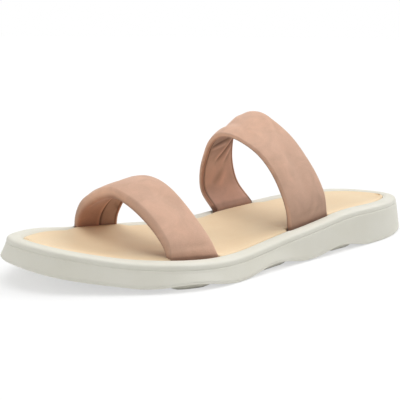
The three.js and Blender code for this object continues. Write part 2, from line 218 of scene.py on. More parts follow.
# share of the length, share of the height
RIM_RISE = [(0, 1), (0.2, 1.0275), (0.4, 0.8025), (0.6, 0.569), (0.8, 0.6835), (1, 1.106)]
UNDERSIDE_RISE = [
    (0, 0.1), (0.05, 0.02), (0.09, 0), (0.15, 0), (0.3, 0.04), (0.45, 0.04), (0.58, 0), (0.72, 0),
    (0.76, 0.05), (0.8, 0.168), (0.84, 0.298), (0.88, 0.415), (0.92, 0.56), (0.96, 0.75), (1, 1),
]


def rise_at(table, x):
    shares, ups = np.array(table, float).T
    steps = np.diff(ups) / np.diff(shares)
    slopes = np.zeros(len(ups))
    slopes[0], slopes[-1] = steps[0], steps[-1]
    before, after = steps[:-1], steps[1:]
    agree = before * after > 0
    slopes[1:-1][agree] = (2 * before * after)[agree] / (before + after)[agree]
    s = np.clip(np.asarray(x, float) / LENGTH + 0.5, 0, 1)
    i = np.clip(np.searchsorted(shares, s, side="right") - 1, 0, len(shares) - 2)
    gap = shares[i + 1] - shares[i]
    return curve_between((s - shares[i]) / gap, gap, ups[i], slopes[i], ups[i + 1], slopes[i + 1])


def rim_height(x):
    return HEEL_HEIGHT * rise_at(RIM_RISE, x)


def underside(x):
    return TOE_SPRING * rise_at(UNDERSIDE_RISE, x)


print("Rim height at heel, ball and toe:", [round(float(rim_height(x)), 1) for x in (-131, 30, 131)])

# %% [markdown]
# ## From rings to a skin
# A moulded sole has the same section all the way round, so it is quick to build from rings: each ring is the
# outline moved outwards and set at a height. Joining the rings makes the walls. The flat sides are then
# filled with rungs that cross from one side of the shoe to the other.

# %% Rings and rungs
RUNG_ROOM = 2.6  # where the shoe is narrower than this many last distances, the points draw together


def ring(outside, height):
    place = outline + outward * np.broadcast_to(outside, len(outline))[:, None]
    level = height(place[:, 0]) if callable(height) else height
    return np.column_stack([place, np.broadcast_to(level, len(outline))])


def soft_step(value, start, end):
    t = np.clip((value - start) / (end - start), 0, 1)
    return t * t * (3 - 2 * t)


def wrap_faces(rows, count):
    i = np.arange(count)
    j = (i + 1) % count
    lower = np.arange(rows - 1)[:, None] * count
    upper = lower + count
    return np.stack([lower + i, lower + j, upper + j, upper + i], -1).reshape(-1, 4).tolist()


def fill_with_rungs(edge, distances, height):
    # the rungs' points stand at these distances from both edges
    half = len(edge) // 2
    a = edge[1:half]
    b = edge[:half:-1]
    width = np.linalg.norm((b - a)[:, :2], axis=1)
    scale = np.minimum(1, width / (RUNG_ROOM * distances[-1]))
    near = np.array(distances)[None] * (scale / width)[:, None]
    share = np.hstack([near, np.full((len(a), 1), 0.5), 1 - near[:, ::-1]])
    points = a[:, None] + (b - a)[:, None] * share[..., None]
    from_edge = np.minimum(share, 1 - share) * (width / scale)[:, None]
    points[..., 2] = height(points[..., 0], points[..., 1], station[1:half, None], from_edge)
    return points


def rung_faces(first, half, inside_start, columns, downward):
    full = np.zeros((half - 1, columns + 2), int)
    full[:, 0] = first + np.arange(1, half)
    full[:, 1:-1] = inside_start + np.arange((half - 1) * columns).reshape(half - 1, columns)
    full[:, -1] = first + 2 * half - np.arange(1, half)
    quads = np.stack([full[:-1, :-1], full[:-1, 1:], full[1:, 1:], full[1:, :-1]], -1).reshape(-1, 4)
    heel = [[first, full[0, k + 1], full[0, k]] for k in range(columns + 1)]
    toe = [[first + half, full[-1, k], full[-1, k + 1]] for k in range(columns + 1)]
    faces = quads.tolist() + heel + toe
    return [list(reversed(f)) for f in faces] if downward else faces


def close_rings(name, rings, first_fill, last_fill):
    # rungs fill the first ring and the last one, and the piece is a closed skin
    count, columns = len(outline), first_fill.shape[1]
    start = len(rings) * count
    faces = wrap_faces(len(rings), count)
    faces += rung_faces(0, count // 2, start, columns, False)
    last_start = start + len(first_fill) * columns
    faces += rung_faces(start - count, count // 2, last_start, last_fill.shape[1], True)
    points = np.vstack([*rings, first_fill.reshape(-1, 3), last_fill.reshape(-1, 3)])
    return make_piece(name, points, faces)


print("A ring has", len(ring(0, 0)), "points")

# %% [markdown]
# ## Points and faces become a mesh
# A mesh that is given as points and faces can be inside out without showing it at once. The volume under its
# triangles tells: below zero, the faces point inwards and are flipped. Another way is to let Blender work
# out the normals, but the volume is worth printing anyway, as a check on the piece.

# %% Make a piece


def make_piece(name, points, faces):
    # points are given round the last's own middle line and moved to the frame's
    mesh = bpy.data.meshes.new(name)
    mesh.from_pydata(((points - [0, MIDDLE_Y, 0]) * MM).tolist(), [], faces)
    mesh.update()
    piece = bpy.data.objects.new(name, mesh)
    bpy.context.scene.collection.objects.link(piece)
    volume = signed_volume(mesh)
    if volume < 0:
        mesh.flip_normals()
    mesh.shade_smooth()
    print(f"{name}: {len(points)} points, {len(faces)} faces, {abs(volume) * 1e6:.1f} cubic cm")
    return piece


def signed_volume(mesh):
    mesh.calc_loop_triangles()
    place = np.zeros(len(mesh.vertices) * 3)
    mesh.vertices.foreach_get("co", place)
    place = place.reshape(-1, 3)
    corners = np.zeros(len(mesh.loop_triangles) * 3, int)
    mesh.loop_triangles.foreach_get("vertices", corners)
    a, b, c = (place[corners.reshape(-1, 3)[:, k]] for k in range(3))
    return float(np.einsum("ij,ij->i", a, np.cross(b, c)).sum() / 6)


print("Every piece is moved", round(-MIDDLE_Y, 2), "mm across, to the middle of the frame")

# %% [markdown]
# ## The paths of the bands
# A band is cut as a strip and pulled over the last, so its front and back edges take different paths. Each
# edge is a table of places over the foot, as shares of its span and its rise, and the band lies between
# them. The feet of the bands go down between the footbed and the rim, so the rim's width belongs to this
# table.

# %% The two bands
RIM_WIDTH = 8.4
# outer_at, inner_at: where an edge meets the rim, as shares of the length, and rise: its height in mm
# _out, _up: the edge's way from the outer foot to the inner one, as shares of its span and of its rise
# seat: how far a foot stands outside the footbed's edge, and lean: forward for each mm up
# turned: leather folded in at each edge, and lining_sink: the depth of the bed for the lining
# tuck: how far a folded end lifts the footbed beside it, on the outer side (1) and the inner side (-1)
TOE_BAND = {
    "node": "strap_front",
    "front": {"outer_at": 0.7424, "inner_at": 0.8065, "rise": 30.6},
    "back": {"outer_at": 0.6321, "inner_at": 0.7042, "rise": 35.5},
    "outer_seat": -0.2,
    "inner_seat": 4.4,
    "lean": 0.12,
    "foot_thick": 4.8,
    "top_thick": 6.4,
    "crown": 1.6,
    "edge_round": 1.8,
    "turned_front": 13.8,
    "turned_back": 1.9,
    "lining_sink": 2.0,
    "tuck": {1: 0.4, -1: 1.6},
    "front_out": [1, 0.98, 0.86, 0.675, 0.46, 0.24, 0.01, -0.2, -0.405, -0.605, -0.795, -0.94, -1],
    "front_up": [0, 0.25, 0.487, 0.68, 0.832, 0.935, 0.99, 0.945, 0.845, 0.7, 0.51, 0.245, 0],
    "back_out": [1, 0.91, 0.77, 0.617, 0.45, 0.257, 0.042, -0.2, -0.437, -0.65, -0.82, -0.94, -1],
    "back_up": [0, 0.2, 0.38, 0.565, 0.734, 0.885, 0.98, 0.994, 0.91, 0.734, 0.48, 0.24, 0],
}
INSTEP_BAND = {
    "node": "strap_rear",
    "front": {"outer_at": 0.4176, "inner_at": 0.4611, "rise": 51.6},
    "back": {"outer_at": 0.2931, "inner_at": 0.3527, "rise": 59.8},
    "outer_seat": 0.4,
    "inner_seat": 4.0,
    "lean": 0.14,
    "foot_thick": 3.4,
    "top_thick": 2.7,
    "crown": 1.6,
    "edge_round": 1.1,
    "turned_front": 1.4,
    "turned_back": 1.4,
    "lining_sink": 1.0,
    "tuck": {1: 0.4, -1: 1.1},
    "front_out": [1, 0.985, 0.87, 0.68, 0.41, 0.09, -0.29, -0.65, -0.925, -1.11, -1.265, -1.29, -1],
    "front_up": [0, 0.21, 0.425, 0.637, 0.807, 0.914, 0.982, 0.972, 0.863, 0.685, 0.46, 0.22, 0],
    "back_out": [1, 0.97, 0.81, 0.565, 0.27, -0.095, -0.53, -0.95, -1.26, -1.42, -1.46, -1.34, -1],
    "back_up": [0, 0.202, 0.39, 0.578, 0.752, 0.896, 0.995, 0.972, 0.842, 0.636, 0.42, 0.19, 0],
}
BANDS = (TOE_BAND, INSTEP_BAND)
for band in BANDS:
    print(band["node"], "rises", band["front"]["rise"], "mm in front and", band["back"]["rise"], "mm behind")

# %% [markdown]
# ## Edges of the bands
# A smooth path runs through each table. Taken so, it would still show a slight corner at every row, so it is
# rubbed down a few times: each point moves half way towards the middle of its two neighbours.

# %% Draw the bands' edges
BAND_STEPS = 181
RUBBINGS = 10


def foot_place(share, side, seat):
    x = (share - 0.5) * LENGTH
    edge = ring(-RIM_WIDTH, 0)
    half = edge[:SIDE_STEPS] if side > 0 else edge[SIDE_STEPS:][::-1]
    return np.array([x, np.interp(x, half[:, 0], half[:, 1]) + side * seat, float(rim_height(x))])


def smooth_path(points, u):
    count = len(points)
    at = u * (count - 1)
    i = np.minimum(at.astype(int), count - 2)
    w = (at - i)[:, None]
    padded = np.vstack([2 * points[0] - points[1], points, 2 * points[-1] - points[-2]])
    p0, p1, p2, p3 = (padded[i + k] for k in range(4))
    pairs = ((p0, p1), (p1, p2), (p2, p3))
    d0, d1, d2 = (np.maximum(np.linalg.norm(b - a, axis=1), 1e-4)[:, None] ** 0.5 for a, b in pairs)
    t1 = ((p1 - p0) / d0 - (p2 - p0) / (d0 + d1) + (p2 - p1) / d1) * d1
    t2 = ((p2 - p1) / d1 - (p3 - p1) / (d1 + d2) + (p3 - p2) / d2) * d1
    return p1 + t1 * w + (-3 * p1 + 3 * p2 - 2 * t1 - t2) * w**2 + (2 * p1 - 2 * p2 + t1 + t2) * w**3


def band_edge(band, side, u):
    edge = band[side]
    outer = foot_place(edge["outer_at"], 1, band["outer_seat"])
    inner = foot_place(edge["inner_at"], -1, band["inner_seat"])
    share = (1 - np.array(band[side + "_out"])) / 2
    up = np.array(band[side + "_up"]) * edge["rise"]
    points = outer + (inner - outer) * share[:, None]
    points[:, 2] = outer[2] + (inner[2] - outer[2]) * np.clip(share, 0, 1) + up
    points[:, 0] += band["lean"] * up
    path = smooth_path(points, u)
    for _ in range(RUBBINGS):
        path[1:-1] = 0.25 * path[:-2] + 0.5 * path[1:-1] + 0.25 * path[2:]
    return path


u = np.linspace(0, 1, BAND_STEPS)
for band in BANDS:
    band["a"], band["b"] = band_edge(band, "front", u), band_edge(band, "back", u)
    lengths = [np.linalg.norm(np.diff(band[k], axis=0), axis=1).sum() for k in "ab"]
    width = np.linalg.norm(band["b"] - band["a"], axis=1)
    print(band["node"], "edges are", np.round(lengths).tolist(), "mm long")
    print(band["node"], "is", round(width.min(), 1), "to", round(width.max(), 1), "mm wide")

# %% [markdown]
# ## Room for the bands' feet
# On the real shoe the bands are set before the footbed is pressed in. On the outer side the footbed is
# notched round them, and on the inner side they push into the rim. Both are the same trick here: where a
# foot stands, the ring of the rim or of the footbed is moved sideways, with short soft shoulders. A boolean
# cut would do it too, but it leaves ragged faces that shade badly.

# %% Notches for the feet
GAP = 0.3
FOOT_MARGIN = 0.2
SHOULDER = 1.2


def foot_ends(band, side):
    key = "outer_at" if side > 0 else "inner_at"
    return [(band[edge][key] - 0.5) * LENGTH for edge in ("back", "front")]


def foot_zone(band, side):
    start, end = foot_ends(band, side)
    start, end = start - FOOT_MARGIN, end + FOOT_MARGIN
    x = outline[:, 0]
    on_side = (np.arange(len(outline)) < SIDE_STEPS) == (side > 0)
    return soft_step(x, start - SHOULDER, start) * (1 - soft_step(x, end, end + SHOULDER)) * on_side


rim_inside = np.full(len(outline), -RIM_WIDTH)
bed_edge = np.full(len(outline), -RIM_WIDTH - GAP)
for band in BANDS:
    for side, seat in ((1, band["outer_seat"]), (-1, band["inner_seat"])):
        zone = foot_zone(band, side)
        outer_face = -RIM_WIDTH + max(seat + GAP, 0)
        inner_face = -RIM_WIDTH + seat - band["foot_thick"] - GAP
        rim_inside = rim_inside + zone * (outer_face - rim_inside)
        bed_edge = bed_edge + zone * (np.minimum(inner_face, bed_edge) - bed_edge)
print("Rim is", round(-rim_inside.max(), 1), "mm wide at its narrowest")

# %% [markdown]
# ## The cup sole
# The real sole is one moulding: a rounded bead round the footbed, a fine groove under the bead, a wall that
# flares to the floor, and a lower edge cut into long soft arches with tread blocks showing behind them. It
# could be sculpted, or cut out of a block. The edge and the tread follow the same few stations along the
# shoe, so two formulas of the place hold them together and a change of one table moves both.

# %% The lower edge and the tread
# places along the sole are shares of its length, the rest is in mm
ARCHES = [0.2805, 0.498, 0.7156]
LUGS = [0.118, *ARCHES, 0.89]
WAVE_DEPTH = 3.3
WAVE_HALF = 28
TREAD_DEPTH = 3.3
LUG_FLAT = 5
LUG_HALF = 13.5
LUG_INSET = (1.2, 3.4)  # between these distances from the edge the lugs come down
EDGE_BLOCK = 12.5  # width of the raised band along the edge


def away_from(x, shares):
    return np.min([np.abs(x - (share - 0.5) * LENGTH) for share in shares], axis=0)


def edge_lift(x):
    d = np.minimum(away_from(x, ARCHES) / WAVE_HALF, 1)
    return WAVE_DEPTH * 0.5 * (1 + np.cos(np.pi * d))


def tread(x, y, at, from_edge):
    raised = 1 - soft_step(from_edge, EDGE_BLOCK, EDGE_BLOCK * 4 / 3)
    band = TREAD_DEPTH + (edge_lift(at) - TREAD_DEPTH) * raised
    end = np.clip((away_from(at, LUGS) - LUG_FLAT) / (LUG_HALF - LUG_FLAT), 0, 1)
    inset = 1 - soft_step(from_edge, *LUG_INSET)
    lug = TREAD_DEPTH * np.maximum(end**2, inset)
    return underside(x) + np.minimum(band, lug)


for name, shares in (("Arches", ARCHES), ("Lugs", LUGS)):
    print(name, "at", [round((share - 0.5) * LENGTH) for share in shares], "mm")

# %% [markdown]
# ## Moulding the sole
# The section is a list of places, walked from the inside of the rim over the bead, down the groove and the
# wall and round the wall's foot. Every place becomes a ring. Many rings sit close together where the section
# turns tightly and few on the plain wall, so the bead looks round without a heavy mesh.

# %% Mould the sole
# whether measured from the outline (1) or from the rim's inner edge (0), mm outwards, mm over the rim
BEAD = [
    (0, 0.7, -0.45), (0, 0.9, -0.2), (0, 1.3, -0.02), (0, 2.2, 0.1), (0, 3.2, 0.17), (0, 4.2, 0.15),
    (1, -3.2, 0.04), (1, -2.4, -0.1), (1, -1.7, -0.3), (1, -1.1, -0.58), (1, -0.6, -0.95),
    (1, -0.28, -1.4), (1, -0.08, -1.95), (1, 0.04, -2.5), (1, 0.09, -2.9), (1, 0.04, -3.15),
    (1, -0.06, -3.32), (1, -0.08, -3.46), (1, 0.04, -3.6), (1, 0.24, -3.8), (1, 0.42, -4.1), (1, 0.55, -4.5),
]
WALL_TOP, WALL_START = 0.55, 4.5
WALL_STEPS = 9
# mm outside the wall's foot, mm over the lower edge
WALL_FOOT = [(-0.02, 1.2), (-0.1, 0.8), (-0.26, 0.45), (-0.52, 0.18), (-0.9, 0.04), (-1.4, 0.0)]
FOOT_CURL = 1.7
CUP_DEPTH = 4.55
RIM_FLAT = 4.8
PLAIN_RUNGS = [6, 20]
UNDER_RUNGS = [
    0.6, 1.2, 1.6, 2.0, 2.4, 2.8, 3.2, 3.8, 6, 9, 12.4, 13, 13.6, 14.2, 14.8, 15.4, 16, 16.8, 20, 24, 29
]


def cup_floor(x, *_):
    return rim_height(x) - CUP_DEPTH


def mould_sole():
    rings = [
        ring(rim_inside, cup_floor),
        ring(rim_inside, lambda x: rim_height(x) - 1.2),
        ring(rim_inside + 0.1, lambda x: rim_height(x) - 0.75),
        ring(rim_inside + 0.35, lambda x: rim_height(x) - 0.45),
    ]
    # where a band's foot pushes into the rim, the flat of the rim gets narrower
    flat_end = RIM_FLAT - RIM_WIDTH + (rim_inside + RIM_WIDTH) / RIM_WIDTH
    for from_outline, d, h in BEAD:
        place = d if from_outline else np.minimum(rim_inside + d, flat_end)
        rings.append(ring(place, lambda x, h=h: rim_height(x) + h))
    top_edge = rim_height(outline[:, 0]) - WALL_START
    lower_edge = underside(outline[:, 0]) + edge_lift(station)
    foot_edge = lower_edge + FOOT_CURL
    for t in np.linspace(0, 1, WALL_STEPS + 1)[1:]:
        rings.append(ring(WALL_TOP + (FLARE - WALL_TOP) * t, top_edge + (foot_edge - top_edge) * t))
    for d, h in WALL_FOOT:
        rings.append(ring(FLARE + d, lower_edge + h))
    floor = fill_with_rungs(rings[0], PLAIN_RUNGS, cup_floor)
    under = fill_with_rungs(rings[-1], UNDER_RUNGS, tread)
    return close_rings("rubber_sole", rings, floor, under)


sole = mould_sole()

# %% [markdown]
# ## The footbed
# The footbed is a thin foam board with leather pulled over it, so its edge is a small soft roll and the foot
# presses its middle a little lower than its edge. It lies level with the rim, and the folded ends of the
# bands lift it a little beside them. Rungs across the bed carry all that, which a flat face with a bump
# couldn't, and a few broad waves keep it from looking machined.

# %% Lay the footbed
BED_THICK = 2.5
BED_ROLL = 0.25  # the edge's drop under the bed's own level
DISH = 0.9
DISH_SLOPE = (3, 24)  # the dish goes down between these distances from the edge
TUCK_SPREAD = 9
# mm in from the bed's edge, mm under the rolled edge
BED_EDGE = [(0.9, 0), (0.5, 0.09), (0.2, 0.27), (0.04, 0.5), (0, 0.85)]
UPPER_RUNGS = [0.6, 1.3, 2.2, 3.4, 5, 7, 9.5, 12.5, 16, 20, 24, 29]


def tuck_rise(x, y):
    # the folded end of a band lifts the footbed beside it
    rise = np.zeros(np.broadcast(x, y).shape)
    for band in BANDS:
        for side in (1, -1):
            start, end = foot_ends(band, side)
            beside = soft_step(x, start - TUCK_SPREAD, start + 1)
            beside = beside * (1 - soft_step(x, end - 1, end + TUCK_SPREAD))
            rise = rise + band["tuck"][side] * beside * (side * (y - MIDDLE_Y) > 0)
    return rise


def bed_surface(x, y, at, from_edge):
    roll = BED_ROLL * (1 - soft_step(from_edge, 0, 3.0))
    unevenness = 0.1 * np.sin(x / 17 + 0.6) * np.sin(y / 13 + 1.1) + 0.06 * np.sin(x / 7.3 + y / 9.1)
    calm = soft_step(from_edge, 2, 12)
    lifted = tuck_rise(x, y) * (1 - soft_step(from_edge, 0.5, 13))
    return rim_height(x) - roll + lifted - DISH * soft_step(from_edge, *DISH_SLOPE) + unevenness * calm


def bed_bottom(x, *_):
    return rim_height(x) - BED_THICK


def lay_footbed():
    lift = tuck_rise(outline[:, 0], outline[:, 1]) - BED_ROLL
    rings = [ring(bed_edge - inside, lambda x, d=down: rim_height(x) + lift - d) for inside, down in BED_EDGE]
    rings.append(ring(bed_edge, bed_bottom))
    upper = fill_with_rungs(rings[0], UPPER_RUNGS, bed_surface)
    lower = fill_with_rungs(rings[-1], [8, 20], bed_bottom)
    return close_rings("leather_footbed", rings, upper, lower)


footbed = lay_footbed()

# %% [markdown]
# ## The padded bands
# A band is a strip of brushed leather wrapped round foam. It is bent hard over the foot, so it creases where
# the bend is tightest, and the foam shows as broad soft dents. Cloth simulation could fold it too, but each
# crease would land where it likes. Here every one is placed one by one, as a line across the band with a
# width and a depth, and it fades at its ends.

# %% Creases and dents, placed one by one
# shares along the band from the outer foot and across it from the front edge, and width and depth in mm
TOE_CREASES = [
    {"from": (0.62, 0.06), "to": (0.80, 0.02), "wide": 3.2, "deep": 0.55},
    {"from": (0.06, 0.15), "to": (0.07, 0.85), "wide": 4.0, "deep": 0.3},
    {"from": (0.45, 0.2), "to": (0.62, 0.75), "wide": 7.0, "deep": 0.25},
    {"from": (0.2, 0.8), "to": (0.42, 0.55), "wide": 6.0, "deep": 0.22},
    {"from": (0.7, 0.3), "to": (0.9, 0.7), "wide": 5.0, "deep": 0.3},
    {"from": (0.655, 0.1), "to": (0.625, 0.85), "wide": 11.0, "deep": 0.9},
]
INSTEP_CREASES = [
    {"from": (0.08, 0.55), "to": (0.34, 0.5), "wide": 7.5, "deep": 0.34},
    {"from": (0.5, 0.38), "to": (0.69, 0.5), "wide": 9.0, "deep": 1.5},
    {"from": (0.645, 0.55), "to": (0.6, 0.78), "wide": 7.0, "deep": 0.8},
    {"from": (0.41, 0.3), "to": (0.4, 1.2), "wide": 15.0, "deep": 0.7},
    {"from": (0.36, 0.7), "to": (0.46, 1.0), "wide": 4.0, "deep": 0.4},
    {"from": (0.5, 0.5), "to": (0.6, 1.0), "wide": 5.0, "deep": 0.45},
    {"from": (0.45, 0.15), "to": (0.55, 0.45), "wide": 6.0, "deep": 0.3},
    {"from": (0.04, 0.1), "to": (0.05, 0.9), "wide": 3.5, "deep": 0.3},
    {"from": (0.72, 0.3), "to": (0.88, 0.6), "wide": 5.0, "deep": 0.3},
]
TOE_BAND["creases"] = TOE_CREASES
INSTEP_BAND["creases"] = INSTEP_CREASES


def crease_depth(rows, s, w, long, wide):
    depth = np.zeros(np.broadcast(s, w).shape)
    wide = float(np.mean(wide))
    for row in rows:
        a = np.array(row["from"]) * [long, wide]
        b = np.array(row["to"]) * [long, wide]
        px, py = s * long - a[0], w * wide - a[1]
        d = b - a
        t = np.clip((px * d[0] + py * d[1]) / (d @ d), 0, 1)
        away = np.hypot(px - t * d[0], py - t * d[1])
        fade = np.sin(np.pi * np.clip(t, 0.02, 0.98)) ** 0.5
        depth += row["deep"] * fade * np.exp(-((away / (0.5 * row["wide"])) ** 2))
    return depth


print("Creases:", len(TOE_CREASES), "on the toe band,", len(INSTEP_CREASES), "on the instep band")

# %% [markdown]
# ## Stations along a band
# A station is one cut across the band. It knows its point on the front edge, the way across to the back edge
# and the way out of the leather, so that a flat section can be stood up there in its place. Three more
# stations at each end carry the band down into its slot.

# %% Stations of a band
SLOT_DEPTH = 4.4
SLOT_STEPS = [1.0, 0.6, 0.25]  # shares of the slot's depth
TURNINGS = 6


def band_stations(band):
    a, b = band["a"], band["b"]
    tangent = np.gradient(a, axis=0) + np.gradient(b, axis=0)
    sink = np.array(SLOT_STEPS)[:, None] * [0, 0, SLOT_DEPTH]
    a, b = (np.vstack([edge[0] - sink, edge, edge[-1] - sink[::-1]]) for edge in (a, b))
    tangent = np.vstack([np.tile([0, 0, 1.0], (3, 1)), tangent, np.tile([0, 0, -1.0], (3, 1))])
    for _ in range(TURNINGS):
        tangent[1:-1] = 0.25 * tangent[:-2] + 0.5 * tangent[1:-1] + 0.25 * tangent[2:]
    s = np.r_[0, 0, 0, np.linspace(0, 1, len(a) - 6), 1, 1, 1]
    across = b - a
    wide = np.linalg.norm(across, axis=1)
    across /= wide[:, None]
    out = np.cross(across, tangent)
    out /= np.linalg.norm(out, axis=1)[:, None]
    if out[len(out) // 2, 2] < 0:
        out = -out
    full = np.sin(np.pi * s) ** 0.5
    long = np.linalg.norm(np.diff(band["a"] + band["b"], axis=0), axis=1).sum() / 2
    return {"a": a, "across": across, "out": out, "wide": wide, "s": s, "full": full, "long": long}


for band in BANDS:
    band["stations"] = band_stations(band)
    print(band["node"], "is about", round(band["stations"]["long"]), "mm long from foot to foot")

# %% [markdown]
# ## The section of a band
# Cut across, a band is a closed ring of leather round foam: the crowned outer face, the fold at the back,
# the inner side with a shallow bed for the lining, and the fold at the front. Each is a row of points in two
# numbers, mm from the front edge and mm over the edge line. A bevelled curve could make such a tube too, but
# its section couldn't swell, thin out and crease along the way.

# %% The section of a band
FACE_POINTS, FOLD_POINTS, INSIDE_POINTS = 49, 10, 61
places = np.cumsum([0, FACE_POINTS, FOLD_POINTS, INSIDE_POINTS, FOLD_POINTS]).tolist()
FACE, BACK_FOLD, INSIDE, FRONT_FOLD = (slice(first, last) for first, last in zip(places, places[1:]))
FOLD_TURN = np.linspace(0, np.pi, FOLD_POINTS + 2)[None, 1:-1]
BED_SLOPE = 0.9


def thickness(band, full):
    return band["foot_thick"] + (band["top_thick"] - band["foot_thick"]) * full


def fold_height(turn, thick, face_height):
    # a quarter turn from the face to the middle of the foam, and another one to the inner side
    return np.where(turn < np.pi / 2, thick / 2 + face_height, thick / 2) * np.cos(turn) - thick / 2


def lining_bed(band, w, wide):
    # 0 on the folded margins, 1 between them
    front, back = band["turned_front"], wide - band["turned_back"]
    return soft_step(w, front, front + BED_SLOPE) * (1 - soft_step(w, back - BED_SLOPE, back))


def band_section(band, place):
    wide, full, s = place["wide"][:, None], place["full"][:, None], place["s"][:, None]
    thick, edge = thickness(band, full), band["edge_round"]
    w_face = edge + (wide - 2 * edge) * np.linspace(0, 1, FACE_POINTS)
    share = w_face / wide
    swell = band["crown"] * (0.25 + 0.75 * full) * (1 - np.abs(2 * share - 1) ** 3) ** 0.9
    uneven = 0.16 * np.sin(s * 23 + share * 4 + 0.8) + 0.12 * np.sin(s * 11 - share * 7)
    h_face = swell - crease_depth(band["creases"], s, share, place["long"], wide) + uneven * full
    w_back = wide - edge + edge * np.sin(FOLD_TURN)
    h_back = fold_height(FOLD_TURN, thick, h_face[:, -1:])
    w_inside = wide - edge - (wide - 2 * edge) * np.linspace(0, 1, INSIDE_POINTS)
    h_inside = -thick + band["lining_sink"] * lining_bed(band, w_inside, wide) * full
    front_turn = FOLD_TURN[:, ::-1]
    w_front = edge - edge * np.sin(front_turn) + 0 * wide
    h_front = fold_height(front_turn, thick, h_face[:, :1])
    return np.hstack([w_face, w_back, w_inside, w_front]), np.hstack([h_face, h_back, h_inside, h_front])


for band in BANDS:
    band["section"] = band_section(band, band["stations"])
    print(band["node"], "stations and points of a section:", band["section"][0].shape)

# %% [markdown]
# ## Tone on the leather: painted light and shade
# Brushed leather isn't one even colour, and the bands' tone here is painted light and shade. Painted
# shade darkens the creases and the groove at the lining, and a painted highlight pales the lip of the
# folded margin. More painted light and shade lie over the whole band, since plain studio light alone
# leaves the bands too even: a paler crest, a darker front fold and darker feet. The tone is kept on the
# mesh, one number to a point, so it stays in its place from every side. It doesn't follow the lamps, and
# a scene with other light may want these numbers nearer to 0.

# %% The tone of a band
# above 0 is painted shade and below 0 painted light; lining_shade has the tone at the crest and at the inner
# foot
TOE_BAND["tone"] = {
    "lip": 0.45, "crest": 0.04, "foot_shade": -0.1, "edge_light": 0.45, "edge_shade": 0.4,
    "lining_shade": (0.5, 0.45),
}
INSTEP_BAND["tone"] = {
    "lip": 0.35, "crest": 0.27, "foot_shade": 0.33, "edge_light": 0.2, "edge_shade": 0.7,
    "lining_shade": (0.62, -0.25),
}
NARROW_CREASE = 6


def bump_at(value, middle, spread):
    return np.exp(-(((value - middle) / spread) ** 2))


def band_fold_shade(w):
    # 0 on the outer face, 1 where the leather is folded inside and takes the darker colour of painted shade
    fold_shade = np.zeros(w.shape)
    fold_shade[:, INSIDE] = 1
    fold_shade[:, FRONT_FOLD] = soft_step(FOLD_TURN, 1.5, 2.6)[:, ::-1]
    return fold_shade


def band_shade(band, place, w):
    # painted light and shade: shade in narrow creases, on the inner leg and in the lining's bed, light on the
    # crest, the back fold and the lip, a lit upper and a shaded lower front fold, and foot_shade at the foot
    tone, wide, s = band["tone"], place["wide"][:, None], place["s"][:, None]
    share = w[:, FACE] / wide
    inner_leg_shade = 0.35 * soft_step(s, 0.72, 0.86)
    shade = np.zeros(w.shape)
    narrow = [row for row in band["creases"] if row["wide"] < NARROW_CREASE]
    shade[:, FACE] = np.clip(crease_depth(narrow, s, share, place["long"], wide), 0, 0.5) * 0.25
    shade -= tone["crest"] * bump_at(s, 0.53, 0.15)
    shade += tone["foot_shade"] * (1 - soft_step(s * place["long"], 2, 30))
    shade[:, FACE] += inner_leg_shade * (1 - soft_step(share, 0.06, 0.25))
    shade[:, BACK_FOLD] = -0.12
    inside = w[:, INSIDE]
    shade[:, INSIDE] = 1.1 * lining_bed(band, inside, wide)
    shade[:, INSIDE] -= tone["lip"] * bump_at(inside, band["turned_front"] - 0.7, 0.8)
    upper = 0.1 - tone["edge_light"] * bump_at(s, 0.6, 0.17) + inner_leg_shade
    under = tone["edge_shade"] * (1 - soft_step(s, 0.5, 0.62))
    shade[:, FRONT_FOLD] = upper + (under - upper) * soft_step(FOLD_TURN[:, ::-1], 1.3, 2.3)
    return shade


def above_footbed(band, s, long):
    return np.minimum(s, 1 - s) * long - np.where(s < 0.5, 0.2, band["tuck"][-1])


for band in BANDS:
    shade = band_shade(band, band["stations"], band["section"][0])[:, FACE]
    print(band["node"], "tone of the outer face from", round(shade.min(), 2), "to", round(shade.max(), 2))

# %% [markdown]
# ## Sewing the bands
# Each section is stood up at its station, neighbouring sections are joined by faces, and the two ends are
# closed inside the slots. The two tones go on the mesh as attributes, which a material can read by name. One
# marks the folded-in leather, which takes a darker colour as painted shade, and the other holds painted
# light and shade.

# %% Sew the bands


def sew_piece(name, place, w, h):
    across, out = place["across"][:, None], place["out"][:, None]
    points = place["a"][:, None] + across * w[..., None] + out * h[..., None]
    rows, count = w.shape
    ends = [list(range(count))[::-1], [(rows - 1) * count + k for k in range(count)]]
    return make_piece(name, points.reshape(-1, 3), wrap_faces(rows, count) + ends)


def store(piece, name, values):
    layer = piece.data.attributes.new(name, "FLOAT", "POINT")
    layer.data.foreach_set("value", np.asarray(values, dtype=np.float32).ravel())


def sew_band(name, band):
    place, (w, h) = band["stations"], band["section"]
    piece = sew_piece(name, place, w, h)
    s = place["s"][:, None]
    above = above_footbed(band, s, place["long"])
    # near the footbed both attributes paint a contact shadow: the darker folded colour and more shade
    store(piece, "fold_shade", np.maximum(band_fold_shade(w), 0.6 * (1 - soft_step(above, 0.2, 5.0))))
    contact_shadow = (1 - soft_step(above, 0.2, 1.6)) * np.where(s < 0.5, 0.5, 0.9)
    shade = band_shade(band, place, w)
    store(piece, "shade", shade + (1 - shade) * contact_shadow)
    return piece


toe_band = sew_band("toe_band_leather", TOE_BAND)
instep_band = sew_band("instep_band_leather", INSTEP_BAND)
